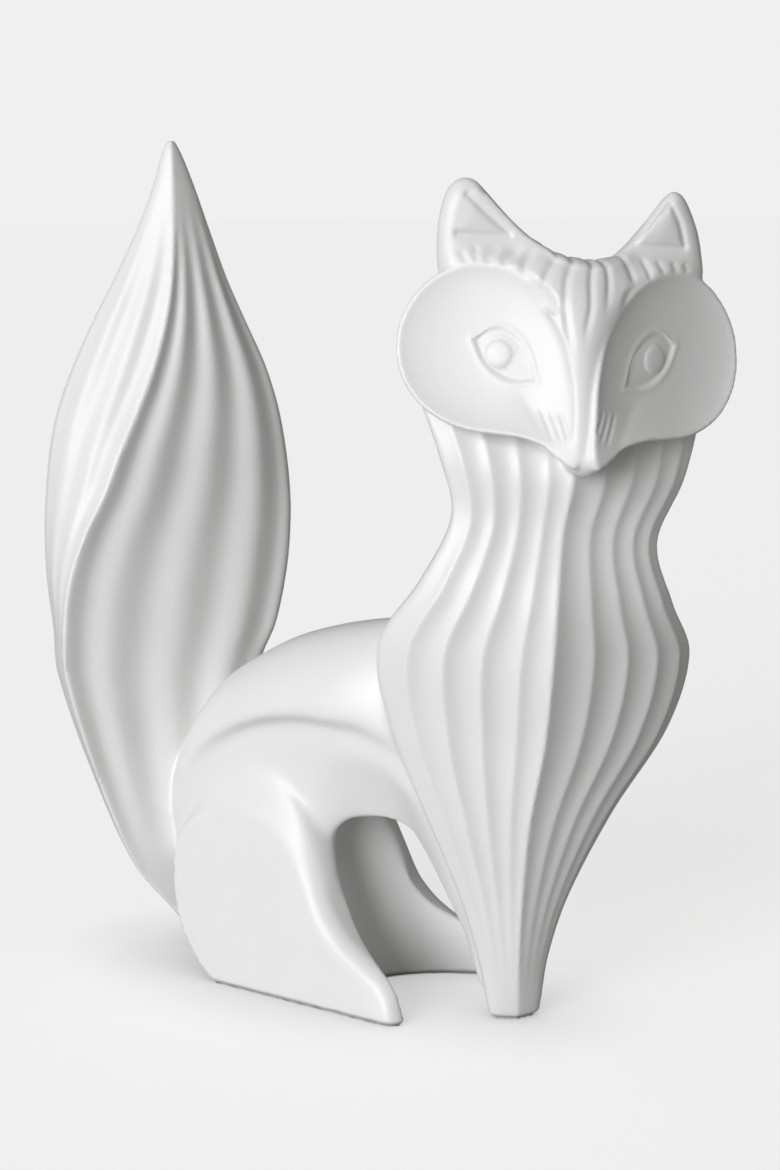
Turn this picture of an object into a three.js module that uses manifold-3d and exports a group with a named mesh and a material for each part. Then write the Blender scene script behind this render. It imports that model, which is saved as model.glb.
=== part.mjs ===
// Seated ceramic fox, one cast piece. Millimetres, +Z up, the face looks along -Y.
// The front foot stands on the origin; the seated body runs back from it, turned to the side.
import * as THREE from "three";
import Module from "manifold-3d";

const wasm = await Module();
wasm.setup();
const { Manifold, Mesh } = wasm;

const DEG = Math.PI / 180;

// Named sizes of the chest column: one line for each height.
// x: middle, sideways; lead: how far the keel stands forward of the origin;
// half: half width; keel: depth of the front; off: keel's own sideways shift;
// back: depth behind the widest line; roll: the section's slope to its right side.
const COLUMN = [
  { h: 0, x: 0.0, lead: 3.8, half: 7.4, keel: 3.6, off: 0.0, back: 6, roll: 0 },
  { h: 1.6, x: 0.0, lead: 4.7, half: 8.4, keel: 4.2, off: 0.0, back: 7, roll: 0 },
  { h: 20, x: -0.2, lead: 7.0, half: 11.9, keel: 7.6, off: -0.5, back: 9, roll: 0.5 },
  { h: 40, x: 0.3, lead: 9.5, half: 18.2, keel: 10.5, off: -1.0, back: 12, roll: 1 },
  { h: 67, x: 2.4, lead: 13.0, half: 31.2, keel: 16.0, off: -2.0, back: 18, roll: 2 },
  { h: 95, x: 6.7, lead: 17.0, half: 47.0, keel: 24.5, off: -2.7, back: 22, roll: 3.5 },
  { h: 121, x: 8.4, lead: 20.0, half: 52.3, keel: 27.0, off: -3.0, back: 23, roll: 4.5 },
  { h: 141, x: 9.2, lead: 19.5, half: 42.0, keel: 17.5, off: -2.4, back: 24, roll: 7 },
  { h: 161, x: 11.1, lead: 14.5, half: 34.2, keel: 11.0, off: -1.3, back: 24, roll: 9 },
  { h: 180, x: 14.2, lead: 15.0, half: 40.5, keel: 14.0, off: -1.2, back: 27, roll: 7 },
  { h: 200, x: 15.2, lead: 6.0, half: 46.8, keel: 10.0, off: -1.0, back: 28, roll: 5 },
  { h: 218, x: 16.2, lead: 4.0, half: 50.5, keel: 9.0, off: -1.0, back: 28, roll: 3.5 },
  { h: 232, x: 16.5, lead: 4.0, half: 46.5, keel: 8.0, off: 0.0, back: 25, roll: 3.5 },
  { h: 240, x: 16.8, lead: 5.0, half: 39.5, keel: 8.0, off: 0.0, back: 18, roll: 3.5 },
  { h: 243.5, x: 16.8, lead: 5.0, half: 30.0, keel: 7.0, off: 0.0, back: 9, roll: 3.5 },
];
const ARRISES = [0.22, 0.455, 0.665, 0.86];
const BACK_ARRISES = 6;
const FLUTE = 1.0;

// Named sizes of the tail: left edge, keel edge and right edge, and the depths.
const TAIL = [
  { h: 6, left: -91.0, keel: -90.0, right: -84.0, y: 90, front: 2, back: 3 },
  { h: 15, left: -98.0, keel: -97.5, right: -80.0, y: 93, front: 5, back: 6 },
  { h: 31, left: -110.5, keel: -110.2, right: -76.0, y: 97.1, front: 9, back: 11 },
  { h: 65, left: -124.2, keel: -123.4, right: -70.0, y: 100.5, front: 14, back: 15 },
  { h: 99, left: -134.4, keel: -133.0, right: -62.3, y: 103.9, front: 19, back: 17 },
  { h: 114, left: -135.3, keel: -133.8, right: -56.5, y: 105.4, front: 22, back: 17 },
  { h: 133, left: -137.0, keel: -131.5, right: -52.2, y: 107.3, front: 25, back: 17 },
  { h: 150, left: -137.0, keel: -125.5, right: -50.5, y: 109, front: 27, back: 17 },
  { h: 163, left: -136.0, keel: -118.8, right: -50.7, y: 110, front: 28, back: 17 },
  { h: 177, left: -134.3, keel: -113.2, right: -52.3, y: 110, front: 27, back: 16 },
  { h: 190, left: -131.3, keel: -107.0, right: -54.6, y: 110, front: 25, back: 15 },
  { h: 204, left: -126.0, keel: -101.0, right: -58.4, y: 110, front: 22, back: 14 },
  { h: 220, left: -118.5, keel: -95.8, right: -66.5, y: 110, front: 18, back: 12 },
  { h: 234, left: -111.0, keel: -93.0, right: -72.3, y: 110, front: 14, back: 10 },
  { h: 252, left: -102.3, keel: -91.5, right: -78.6, y: 110, front: 9, back: 7 },
  { h: 265, left: -97.2, keel: -91.2, right: -83.0, y: 110, front: 6, back: 5 },
  { h: 276, left: -94.0, keel: -91.0, right: -87.3, y: 110, front: 3, back: 3 },
  { h: 280, left: -92.2, keel: -91.0, right: -89.4, y: 110, front: 1.5, back: 1.5 },
];
const TAIL_CRESTS_RIGHT = [0.22, 0.52, 0.81];
const TAIL_CRESTS_LEFT = [0.4, 0.8];
const TAIL_FLUTE = 1.6;

// The seated body runs back at this angle from the face, half of it on each side of its middle.
const BODY_TURN = 41 * DEG;

// A size that changes smoothly from one named height to the next.
function sizeAt(rows, key, h) {
  let i = 0;
  while (i < rows.length - 2 && h > rows[i + 1].h) i += 1;
  const slope = (j) => {
    const a = rows[Math.max(j - 1, 0)];
    const b = rows[Math.min(j + 1, rows.length - 1)];
    return (b[key] - a[key]) / (b.h - a.h);
  };
  const a = rows[i];
  const b = rows[i + 1];
  const span = b.h - a.h;
  const t = Math.min(Math.max((h - a.h) / span, 0), 1);
  const t2 = t * t;
  const t3 = t2 * t;
  return (2 * t3 - 3 * t2 + 1) * a[key] + (t3 - 2 * t2 + t) * span * slope(i)
    + (3 * t2 - 2 * t3) * b[key] + (t3 - t2) * span * slope(i + 1);
}

function steps(rows, count) {
  const heights = [];
  for (let i = 0; i < rows.length - 1; i += 1) {
    const n = Math.max(1, Math.round(count * (rows[i + 1].h - rows[i].h) / 280));
    for (let j = 0; j < n; j += 1) {
      heights.push(rows[i].h + (rows[i + 1].h - rows[i].h) * j / n);
    }
  }
  heights.push(rows[rows.length - 1].h);
  return heights;
}

// Depth of a keeled front, 1 at the keel and 0 at the edge: a roof with a rounded edge.
const ROOF = 0.62;
function front(f) {
  return ROOF * (1 - f) + (1 - ROOF) * Math.sqrt(Math.max(0, 1 - f ** 5));
}

// Fractions across a side: each arris and the hollow between it and the one before.
function fluteMarks(arrises) {
  const marks = [];
  let before = 0;
  for (const at of [...arrises, 1]) {
    marks.push({ f: before + (at - before) * 0.35, dip: 0.85 });
    marks.push({ f: before + (at - before) * 0.68, dip: 0.8 });
    marks.push({ f: at, dip: 0 });
    before = at;
  }
  return marks;
}

// Closed rings joined one after another, with a fan at each end.
function loft(rings) {
  const size = rings[0].length;
  const middle = (ring) => ring.reduce((sum, p) => sum.add(p), new THREE.Vector3())
    .divideScalar(size);
  const points = [...rings.flat(), middle(rings[0]), middle(rings[rings.length - 1])];
  const first = rings.length * size;
  const top = (rings.length - 1) * size;
  const faces = [];
  for (let j = 0; j < size; j += 1) {
    const k = (j + 1) % size;
    for (let i = 0; i < rings.length - 1; i += 1) {
      const row = i * size;
      faces.push(row + j, row + k, row + size + k);
      faces.push(row + j, row + size + k, row + size + j);
    }
    faces.push(first, k, j);
    faces.push(first + 1, top + j, top + k);
  }
  return new Manifold(new Mesh({
    numProp: 3,
    vertProperties: Float32Array.from(points.flatMap((p) => [p.x, p.y, p.z])),
    triVerts: Uint32Array.from(faces),
  }));
}

// The chest column, neck and head: fluted sections stacked from the foot to the crown.
function columnRing(h) {
  const s = {};
  for (const key of ["x", "lead", "half", "keel", "off", "back", "roll"]) {
    s[key] = sizeAt(COLUMN, key, h);
  }
  const fade = Math.min(1, h / 60) * Math.min(1, Math.max(0, (205 - h) / 20));
  const depth = FLUTE * fade;
  const points = [];
  const add = (x, forward) => {
    const roll = s.roll * DEG;
    points.push(new THREE.Vector3(
      s.x + x * Math.cos(roll), s.keel - s.lead - forward, h - x * Math.sin(roll)));
  };
  const ticks = BACK_ARRISES * 2;
  for (let i = 0; i < ticks; i += 1) {
    const turn = Math.PI * i / ticks;
    const dip = i % 2 === 1 ? depth : 0;
    add((s.half - dip) * Math.cos(turn), -(s.back - dip) * Math.sin(turn));
  }
  const marks = fluteMarks(ARRISES);
  const side = (sign, mark) => {
    const x = sign * s.half * mark.f + s.off * (1 - mark.f);
    const d = mark.dip * depth;
    add(x - sign * d * mark.f, s.keel * front(mark.f) - d);
  };
  for (let i = marks.length - 1; i >= 0; i -= 1) side(-1, marks[i]);
  add(s.off, s.keel);
  for (let i = 0; i < marks.length - 1; i += 1) side(1, marks[i]);
  return points;
}

// The tail: an upright leaf with one curved keel edge and wide soft flutes.
function tailRing(h) {
  const s = {};
  for (const key of ["left", "keel", "right", "y", "front", "back"]) {
    s[key] = sizeAt(TAIL, key, h);
  }
  const fade = Math.min(1, Math.max(0, (h - 20) / 60)) * Math.min(1, Math.max(0, (262 - h) / 50));
  const depth = TAIL_FLUTE * fade;
  const points = [];
  const middle = (s.left + s.right) / 2;
  const half = (s.right - s.left) / 2;
  for (let i = 0; i < 10; i += 1) {
    const turn = Math.PI * i / 10;
    points.push(new THREE.Vector3(
      middle + half * Math.cos(turn), s.y + s.back * Math.sin(turn), h));
  }
  const face = (from, to, f, dip) => {
    points.push(new THREE.Vector3(
      from + (to - from) * f, s.y - s.front * front(f) + dip * depth, h));
  };
  const leftMarks = fluteMarks(TAIL_CRESTS_LEFT).reverse();
  for (const m of leftMarks) face(s.keel, s.left, m.f, m.dip * 0.6);
  face(s.keel, s.right, 0, 0);
  const rightMarks = fluteMarks(TAIL_CRESTS_RIGHT);
  for (const m of rightMarks.slice(0, -1)) face(s.keel, s.right, m.f, m.dip);
  return points;
}

// The body is drawn from the side: t runs along it towards the chest and is 0 at the front
// foot, v runs across it and z goes up.
function bodyToWorld(solid) {
  const turn = new THREE.Matrix4().makeBasis(
    new THREE.Vector3(Math.sin(BODY_TURN), -Math.cos(BODY_TURN), 0),
    new THREE.Vector3(Math.cos(BODY_TURN), Math.sin(BODY_TURN), 0),
    new THREE.Vector3(0, 0, 1));
  return solid.transform(turn.elements);
}

// Back, flanks and rump: sections across the body from the rump to the inside of the chest.
// h: place along the body; top, crease, low: heights; half, foot: half widths; dent: flank.
const BODY = [
  { h: -137, top: 58, crease: 52, half: 4, low: 46, foot: 3, dent: 0 },
  { h: -133, top: 70, crease: 56, half: 13, low: 38, foot: 10, dent: 0 },
  { h: -124, top: 86, crease: 64, half: 21, low: 30, foot: 18, dent: 0.5 },
  { h: -113, top: 100, crease: 76, half: 25, low: 22, foot: 20, dent: 2 },
  { h: -100, top: 109, crease: 85, half: 26, low: 24, foot: 21, dent: 3.5 },
  { h: -86, top: 116.5, crease: 91, half: 26, low: 30, foot: 22, dent: 4.5 },
  { h: -70, top: 122, crease: 94, half: 25, low: 46, foot: 20, dent: 4.5 },
  { h: -58, top: 125, crease: 94, half: 24.5, low: 58, foot: 14, dent: 4 },
  { h: -51, top: 126.4, crease: 94, half: 23.5, low: 61, foot: 11, dent: 3.5 },
  { h: -43, top: 128, crease: 92, half: 22, low: 61.5, foot: 9, dent: 3 },
  { h: -36, top: 128, crease: 89, half: 20.5, low: 58, foot: 6.5, dent: 2 },
  { h: -30, top: 126, crease: 86, half: 18.5, low: 48, foot: 4.5, dent: 1 },
  { h: -24, top: 124, crease: 82, half: 16, low: 37, foot: 3.5, dent: 0.5 },
  { h: -17, top: 116, crease: 74, half: 12, low: 24, foot: 3, dent: 0 },
  { h: -10, top: 106, crease: 68, half: 9, low: 8, foot: 3, dent: 0 },
  { h: -3, top: 98, crease: 64, half: 6, low: 24, foot: 3, dent: 0 },
];

function bodyRing(t) {
  const s = {};
  for (const key of ["top", "crease", "half", "low", "foot", "dent"]) s[key] = sizeAt(BODY, key, t);
  const side = [];
  for (let i = 0; i <= 5; i += 1) {
    const turn = Math.PI / 2 * i / 5;
    side.push([s.half * Math.sin(turn), s.crease + (s.top - s.crease) * Math.cos(turn)]);
  }
  side.push([s.half - s.dent * 0.7, s.crease - (s.crease - s.low) * 0.12]);
  side.push([s.half - s.dent, s.crease - (s.crease - s.low) * 0.3]);
  side.push([(s.half - s.dent + s.foot) / 2, s.crease - (s.crease - s.low) * 0.7]);
  side.push([s.foot, s.low]);
  const points = [];
  for (const [v, z] of side) points.push(new THREE.Vector3(t, -v, z));
  for (let i = side.length - 1; i >= 1; i -= 1) {
    points.push(new THREE.Vector3(t, side[i][0], side[i][1]));
  }
  return points;
}

// Both hind legs from one side view: flat outer faces that lean in, a bevel band above them.
const HIP_OUTLINE = [
  [-99, 0], [-105.5, 5], [-112, 12.5], [-117, 22], [-119.5, 35], [-118, 48],
  [-109, 57], [-98, 61], [-89, 61.2], [-80, 58], [-72.5, 53.5], [-66, 47.5], [-61, 40.5],
  [-56, 32], [-48, 24], [-38.5, 18.5], [-31, 14], [-27, 9], [-24, 0],
];
const HIP_HALF = 33;
const HIP_LEAN = 0.11;
const HIP_RIM = { rise: 13.5, at: -82, spread: 30 };

function hipRing(v, grow) {
  const side = Math.sign(v);
  return HIP_OUTLINE.map(([t, z]) => {
    const along = Math.exp(-(((t - HIP_RIM.at) / HIP_RIM.spread) ** 2));
    const upper = Math.min(1, Math.max(0, (z - 30) / 22));
    const half = Math.abs(v) - HIP_LEAN * z;
    return new THREE.Vector3(t, -side * half, z + grow * HIP_RIM.rise * along * upper);
  });
}

// The hollow between the legs: round in plan, leaning back and closing as it rises.
const HOLLOW = [
  [-54.5, 0], [-53.4, 4.6], [-50.8, 8.5], [-47, 12.6], [-41.3, 18.2], [-34, 23],
  [-28, 26], [-21, 28],
];
const HOLLOW_LEAN = 0.37;
const HOLLOW_TOP = 61;

function hollowRing(z) {
  const close = Math.max(0, (z - 36) / (HOLLOW_TOP - 36));
  const size = 0.25 + 0.75 * Math.sqrt(1 - close ** 2);
  const half = HOLLOW.map(([t, v]) => [-38 + (t + 38) * size - HOLLOW_LEAN * z, v * size]);
  const far = half.slice(1).reverse().map(([t, v]) => [t, -v]);
  return [...far, ...half].map(([t, v]) => new THREE.Vector3(t, -v, z));
}

function hips() {
  const rings = [[1, 0], [0.96, 0.2], [0.87, 1]].map(([side, grow]) => hipRing(HIP_HALF * side, grow));
  const other = [[0.87, 1], [0.96, 0.2], [1, 0]].map(([side, grow]) => hipRing(-HIP_HALF * side, grow));
  const legs = loft([...rings, ...other]);
  const hollow = loft([-2, 20, 38, 46, 52, 57, 60, HOLLOW_TOP].map(hollowRing));
  return { legs, hollow };
}

// The face: two round dishes that narrow to the nose, one on each side of the ridge.
const HEAD = { x: 16.9, y: -2, z: 217.7, roll: 3.5 * DEG };
const DISC = { r: 26.5, at: 31.8, turn: 25 * DEG, tilt: 11 * DEG, forward: 20 };
const DISC_MIDDLE = [26, -4];

function discOutline(size, depth) {
  const outline = [];
  for (let i = 0; i <= 24; i += 1) {
    const turn = (-104 + 254 * i / 24) * DEG;
    outline.push([DISC.at + DISC.r * Math.cos(turn), DISC.r * Math.sin(turn)]);
  }
  outline.push([2, 6], [-0.5, -4], [-2, -14], [-3, -24], [-3, -30], [0.5, -34.2], [5, -34]);
  outline.push([9.3, -30.6], [13.5, -28], [19, -26.8]);
  const [x0, z0] = DISC_MIDDLE;
  return outline.map(([x, z]) => new THREE.Vector3(
    x0 + (x - x0) * size, z0 + (z - z0) * size, depth));
}

function faceSide(sign) {
  const plate = loft([
    discOutline(0.75, -19), discOutline(0.97, -7), discOutline(1, -0.8), discOutline(0.975, 0),
  ]);
  const dish = loft([
    discOutline(0.3, -2.4), discOutline(0.6, -1.9), discOutline(0.82, -1),
    discOutline(0.94, 0), discOutline(0.96, 3),
  ]);
  const place = new THREE.Matrix4().makeTranslation(3.5, -DISC.forward, 0)
    .multiply(new THREE.Matrix4().makeRotationZ(DISC.turn))
    .multiply(new THREE.Matrix4().makeRotationX(-DISC.tilt))
    .multiply(new THREE.Matrix4().makeRotationX(Math.PI / 2));
  const right = plate.subtract(dish).transform(place.elements);
  return sign > 0 ? right : right.mirror([1, 0, 0]);
}

// The ridge between the dishes: narrow at the nose, spreading into the fluted crown.
const RIDGE = [
  { h: -35.5, half: 2.4, front: 22.5 },
  { h: -33.8, half: 4.0, front: 25.0 },
  { h: -28, half: 4.7, front: 25.8 },
  { h: -16, half: 4.6, front: 23.9 },
  { h: -7, half: 5.2, front: 22.2 },
  { h: 1, half: 6.2, front: 21.2 },
  { h: 10, half: 9.0, front: 19.6 },
  { h: 17, half: 13.5, front: 17.2 },
  { h: 22, half: 19.0, front: 14.5 },
  { h: 25.5, half: 26.0, front: 10.5 },
  { h: 27.4, half: 30.0, front: 5.0 },
];
const CROWN_FLUTES = [0.26, 0.56, 0.86];

function ridgeRing(z) {
  const half = sizeAt(RIDGE, "half", z);
  const lead = sizeAt(RIDGE, "front", z);
  const depth = 1.1 * Math.min(1, Math.max(0, (z + 2) / 16));
  const points = [new THREE.Vector3(half, 5, z), new THREE.Vector3(-half, 5, z)];
  const marks = fluteMarks(CROWN_FLUTES).filter((m) => m.f < 0.99);
  const face = (f, dip) => {
    points.push(new THREE.Vector3(
      f * half, -lead + 0.32 * half * f * f + dip * depth, z));
  };
  face(-1, 0);
  for (let i = marks.length - 1; i >= 0; i -= 1) face(-marks[i].f, marks[i].dip);
  face(0, 0);
  for (const m of marks) face(m.f, m.dip);
  face(1, 0);
  return points;
}

const EAR_SHIFT = -0.9;

function ear(sign) {
  const ball = (x, y, z, r) => Manifold.sphere(r, 12).translate([sign * x + EAR_SHIFT, y, z]);
  const shell = Manifold.hull([
    ball(38.8, 7, 24, 4.3), ball(13.4, 2.3, 24.6, 3.1), ball(33.2, 7.5, 46.4, 3.3),
    ball(38.6, 6, 33, 3.8), ball(37.5, 10, 22, 4), ball(17, 8, 24, 4),
  ]);
  const saddle = Manifold.hull([
    ball(21, 4.0, 30.8, 3), ball(2, 4.2, 23.2, 3), ball(22, 9.2, 26, 4.2), ball(2, 8.6, 20, 4.2),
  ]);
  const recess = Manifold.hull([
    ball(37.3, -3, 31, 1), ball(20, -3, 31, 1), ball(33, -1, 42.5, 1),
    ball(36.6, 1.8, 31.5, 0.8), ball(21.5, 1.8, 31.5, 0.8), ball(32.9, 4.6, 41.5, 0.8),
  ]);
  return shell.add(saddle).subtract(recess);
}

function head() {
  const ridge = loft(steps(RIDGE, 90).map(ridgeRing));
  const local = faceSide(1).add(faceSide(-1)).add(ridge).add(ear(1)).add(ear(-1));
  const place = new THREE.Matrix4().makeTranslation(HEAD.x, HEAD.y, HEAD.z)
    .multiply(new THREE.Matrix4().makeRotationY(HEAD.roll));
  return local.transform(place.elements);
}

const column = loft(steps(COLUMN, 34).map(columnRing));
const tail = loft(steps(TAIL, 34).map(tailRing));
const body = loft(steps(BODY, 36).map(bodyRing));
const { legs, hollow } = hips();
const fox = column.add(tail).add(bodyToWorld(body.add(legs).subtract(hollow))).add(head())
  .simplify(0.02);

// The finished piece stands on its underside, with the origin below the middle of its box.
const box = fox.boundingBox();
const mesh = fox
  .translate([-(box.min[0] + box.max[0]) / 2, -(box.min[1] + box.max[1]) / 2, -box.min[2]])
  .getMesh();
const geometry = new THREE.BufferGeometry();
geometry.setAttribute("position", new THREE.BufferAttribute(mesh.vertProperties, 3));
geometry.setIndex(new THREE.BufferAttribute(mesh.triVerts, 1));
const piece = new THREE.Mesh(geometry, new THREE.MeshStandardMaterial({ color: 0xf2f2f0 }));
piece.name = "fox_figurine";
const group = new THREE.Group();
group.add(piece);
export default group;
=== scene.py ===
# %% [markdown]
# A white ceramic fox sits upright on a pale table. The real figurine is one slip-cast piece:
# a fluted column carries the face and stands on one small front foot, a smooth body with two
# hind legs runs back from it, and a tall twisted tail rises behind.
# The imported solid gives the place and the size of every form. Here the same forms are made
# again as fine shells, joined into one skin, and then carved with the small relief.

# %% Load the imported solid
import math
import bpy
import numpy as np
from mathutils import Matrix


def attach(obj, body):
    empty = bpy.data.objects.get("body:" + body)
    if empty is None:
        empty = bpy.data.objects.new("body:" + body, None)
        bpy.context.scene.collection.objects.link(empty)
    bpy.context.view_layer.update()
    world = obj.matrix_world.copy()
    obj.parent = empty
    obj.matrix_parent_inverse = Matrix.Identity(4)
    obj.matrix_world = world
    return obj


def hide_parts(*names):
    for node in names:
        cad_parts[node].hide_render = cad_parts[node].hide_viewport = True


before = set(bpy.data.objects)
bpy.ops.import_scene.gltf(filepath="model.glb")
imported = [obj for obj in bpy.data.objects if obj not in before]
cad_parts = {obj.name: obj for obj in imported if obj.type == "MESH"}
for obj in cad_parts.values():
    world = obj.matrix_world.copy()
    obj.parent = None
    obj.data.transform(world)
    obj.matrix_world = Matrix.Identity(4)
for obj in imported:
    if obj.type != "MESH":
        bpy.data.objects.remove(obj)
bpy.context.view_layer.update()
MM = 0.001
FOOT_X = 32.2
FOOT_Y = -49.48

# %% [markdown]
# The picture was taken from a little above the figurine and a little to its left, with a lens
# that flattens it only slightly. Its place and its turn come from the slope of the table under
# the foot, and the lens from the width of the frame.

# %% Camera
CAMERA_PLACE = (-0.1885, -0.7674, 0.288)
CAMERA_PITCH = 79.07
CAMERA_TURN = -14.0
CAMERA_LENS = 74.55

bpy.ops.object.camera_add(
    location=CAMERA_PLACE,
    rotation=(math.radians(CAMERA_PITCH), 0, math.radians(CAMERA_TURN)),
)
camera = bpy.context.object
camera.name = "camera"
camera.data.lens = CAMERA_LENS
camera.data.clip_start = 0.01
camera.data.clip_end = 50
bpy.context.scene.camera = camera
print("camera at", CAMERA_PLACE)

# %% [markdown]
# The forms of the figurine are long: each is a closed section that changes slowly along a line.
# Such a form could be extruded step by step, but a grid is quicker: one way of the grid goes
# round the section and the other way along the line. The helper below adds a grid, puts its
# points where a function says, welds the seam and closes the two ends.
# All sizes are millimetres from the middle of the front foot.

# %% A tool for closed shells
def deselect():
    if bpy.context.object and bpy.context.object.mode != "OBJECT":
        bpy.ops.object.mode_set(mode="OBJECT")
    bpy.ops.object.select_all(action="DESELECT")


def choose(piece):
    """Make one piece the selected and active one."""
    deselect()
    piece.select_set(True)
    bpy.context.view_layer.objects.active = piece


def read_rows(items, what):
    """One vector for each vertex or face, as the rows of a table."""
    flat = np.empty(len(items) * 3)
    items.foreach_get(what, flat)
    return flat.reshape(-1, 3)


def points_of(piece):
    return read_rows(piece.data.vertices, "co")


def normals_of(piece):
    return read_rows(piece.data.vertices, "normal")


def move_points(piece, points):
    piece.data.vertices.foreach_set("co", points.ravel())
    piece.data.update()


def closed_shell(name, around, along, place):
    """A grid whose points place(u, v) gives in mm: u goes round from 0 to 1, v along it."""
    deselect()
    bpy.ops.mesh.primitive_grid_add(x_subdivisions=around, y_subdivisions=along, size=2)
    piece = bpy.context.object
    piece.name = name
    grid = points_of(piece)
    u = (grid[:, 0] + 1) / 2
    v = (grid[:, 1] + 1) / 2
    move_points(piece, np.stack(place(u, v), axis=1) * MM)
    bpy.ops.object.mode_set(mode="EDIT")
    bpy.ops.mesh.select_all(action="SELECT")
    bpy.ops.mesh.remove_doubles(threshold=0.01 * MM)
    bpy.ops.mesh.select_all(action="DESELECT")
    bpy.ops.mesh.select_non_manifold()
    bpy.ops.mesh.edge_face_add()
    bpy.ops.mesh.select_all(action="SELECT")
    bpy.ops.mesh.normals_make_consistent(inside=False)
    bpy.ops.object.mode_set(mode="OBJECT")
    return piece


print("shell tool ready")

# %% [markdown]
# On a glazed casting every size changes smoothly from one height to the next. A curve object
# could hold such a change, but a short formula can be read at every point of a grid at once.

# %% Smooth curves through a few named sizes
def flow(places, sizes, at):
    """A smooth curve through sizes at places, read at every value of at."""
    places = np.array(places, float)
    sizes = np.array(sizes, float)
    at = np.clip(at, places[0], places[-1])
    slopes = np.gradient(sizes) / np.gradient(places)
    i = np.clip(np.searchsorted(places, at, side="right") - 1, 0, len(places) - 2)
    span = places[i + 1] - places[i]
    t = (at - places[i]) / span
    rise = sizes[i + 1] - sizes[i]
    return (sizes[i] + rise * t * t * (3 - 2 * t)
            + span * slopes[i] * t * (1 - t) ** 2
            - span * slopes[i + 1] * t * t * (1 - t))


def column_of(rows, index, at):
    return flow([row[0] for row in rows], [row[index] for row in rows], at)


def ramp(value, start, end):
    """0 at start, 1 at end, with soft ends."""
    t = np.clip((value - start) / (end - start), 0, 1)
    return t * t * (3 - 2 * t)


print("a quarter of the way up a ramp:", ramp(1, 0, 4))

# %% [markdown]
# The column is the fox's foreleg, chest and neck in one. Its front is a keel: a roof with a
# sharp ridge in the middle and rounded eaves. Shallow hollow flutes run down both sides and
# meet in soft edges, closer together on the narrow lit side than on the other.
# Each row below is one height with the place of the middle, how far the keel leads, the half
# width, the depth of the roof, the keel's own shift, the depth behind, and the roll.

# %% Column of the chest
COLUMN = [
    (0, 0.0, 3.8, 7.4, 3.6, 0.0, 6, 0), (1.6, 0.0, 4.7, 8.4, 4.2, 0.0, 7, 0),
    (20, -0.2, 7.0, 11.9, 7.6, -0.5, 9, 0.5), (40, 0.3, 9.5, 18.2, 10.5, -1.0, 12, 1),
    (67, 2.4, 13.0, 31.2, 16.0, -2.0, 18, 2), (95, 6.7, 17.0, 47.0, 24.5, -2.7, 22, 3.5),
    (121, 8.4, 20.0, 52.3, 27.0, -3.0, 23, 4.5), (141, 9.2, 19.5, 42.0, 17.5, -2.4, 24, 7),
    (161, 11.1, 14.5, 34.2, 11.0, -1.3, 24, 9), (180, 14.2, 15.0, 40.5, 14.0, -1.2, 27, 7),
    (200, 15.2, 6.0, 46.8, 10.0, -1.0, 28, 5), (218, 16.2, 4.0, 50.5, 9.0, -1.0, 28, 3.5),
    (232, 16.5, 4.0, 46.5, 8.0, 0.0, 25, 3.5), (240, 16.8, 5.0, 39.5, 8.0, 0.0, 18, 3.5),
    (243.5, 16.8, 5.0, 30.0, 7.0, 0.0, 9, 3.5),
]
ARRISES_RIGHT = [0, 0.27, 0.50, 0.71, 0.88, 1]
ARRISES_LEFT = [0, 0.19, 0.42, 0.65, 0.86, 1]
ARRISES_BACK = [0, 1 / 6, 2 / 6, 3 / 6, 4 / 6, 5 / 6, 1]
COLUMN_TOP = 243.5
FLUTE_DEPTH = 0.105
FLUTE_EASE = 0.78
BACK_FLUTES = 0.5
ROOF = 0.62
FRONT_SHARE = 0.7
BACK_SHARE = 0.3


def go_round(u):
    """Across the front from 1 to -1, then behind: the place, whether it is behind, and the turn."""
    side = np.clip(1 - u / (FRONT_SHARE / 2), -1, 1)
    turn = np.pi + np.pi * (u - FRONT_SHARE) / BACK_SHARE
    return side, u > FRONT_SHARE, turn


def keeled(f):
    """Depth of a keeled front: 1 at the keel, 0 at the edge."""
    return ROOF * (1 - f) + (1 - ROOF) * np.sqrt(np.clip(1 - f ** 5, 0, 1))


def hollow_flutes(f, arrises):
    """0 on each arris; between two of them a hollow as deep as its width, 1 for the full width."""
    arrises = np.array(arrises)
    i = np.clip(np.searchsorted(arrises, f, side="right") - 1, 0, len(arrises) - 2)
    width = arrises[i + 1] - arrises[i]
    t = (f - arrises[i]) / width
    return 4 * t * (1 - t) * width


def chest_column(u, v):
    h = v * COLUMN_TOP
    x0, lead, half, keel, off, back, roll = [column_of(COLUMN, k, h) for k in range(1, 8)]
    side, behind, turn = go_round(u)
    f = np.abs(side)
    right = side > 0
    flute = np.where(right, FLUTE_EASE * hollow_flutes(f, ARRISES_RIGHT),
                     hollow_flutes(f, ARRISES_LEFT))
    fade = np.minimum(ramp(h, -10, 40), 1 - ramp(h, 190, 210))
    dip = FLUTE_DEPTH * half * flute * fade
    x = side * half + off * (1 - f) - np.sign(side) * dip * f
    forward = keel * keeled(f) - dip
    back_flute = hollow_flutes(np.clip((u - FRONT_SHARE) / BACK_SHARE, 0, 1), ARRISES_BACK)
    dent = FLUTE_DEPTH * BACK_FLUTES * half * back_flute * fade
    x = np.where(behind, (half - dent) * np.cos(turn), x)
    forward = np.where(behind, (back - dent) * np.sin(turn), forward)
    roll = np.radians(roll)
    return x0 + x * np.cos(roll), keel - lead - forward, h - x * np.sin(roll)


column = closed_shell("column", 360, 300, chest_column)
print("column", len(column.data.polygons), "faces")

# %% [markdown]
# The tail is an upright leaf. Its left edge swells out and sweeps in again to the tip, while
# its front edge, the keel, crosses over from the left to the middle, so the whole leaf seems
# to twist like a flame. Wide soft waves follow the keel on both faces.
# Each row is one height with the left edge, the keel, the right edge, how far back the middle
# stands, and the depth in front of it and behind it.

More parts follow.
